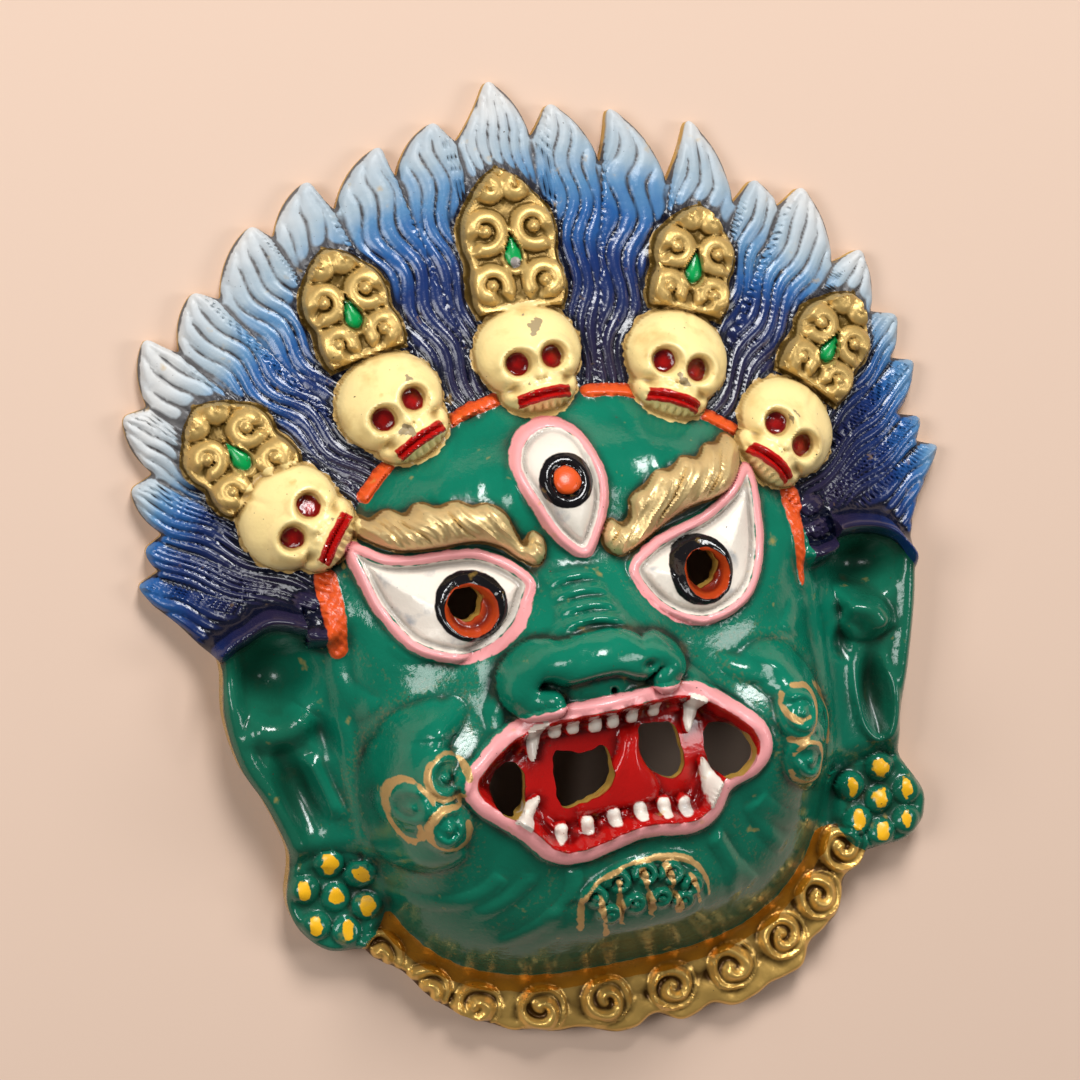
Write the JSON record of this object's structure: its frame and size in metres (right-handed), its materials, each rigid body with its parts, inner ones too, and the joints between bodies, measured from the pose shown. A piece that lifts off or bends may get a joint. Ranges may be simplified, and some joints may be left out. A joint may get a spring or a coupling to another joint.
{
  "type": "cast wrathful protector mask wall hanging",
  "caption": "Painted cast mask of a wrathful three-eyed guardian face with a skull crown, flame-shaped hair, pierced eyes and mouth, ear clusters and a scroll band below the jaw.",
  "frame": {"origin": "centre of the bounding box at the plane of the flat back rim", "axes": "+X to the viewer's right, +Y from the jaw towards the crown, +Z out of the face; the mask lies on its back rim"},
  "size_m": [0.1676, 0.1958, 0.0516],
  "materials": {
    "painted_casting": "glossy brush-painted enamel over a thin sand-cast metal shell"
  },
  "bodies": {
    "root": {"mask": "painted_casting"}
  },
  "joints": []
}
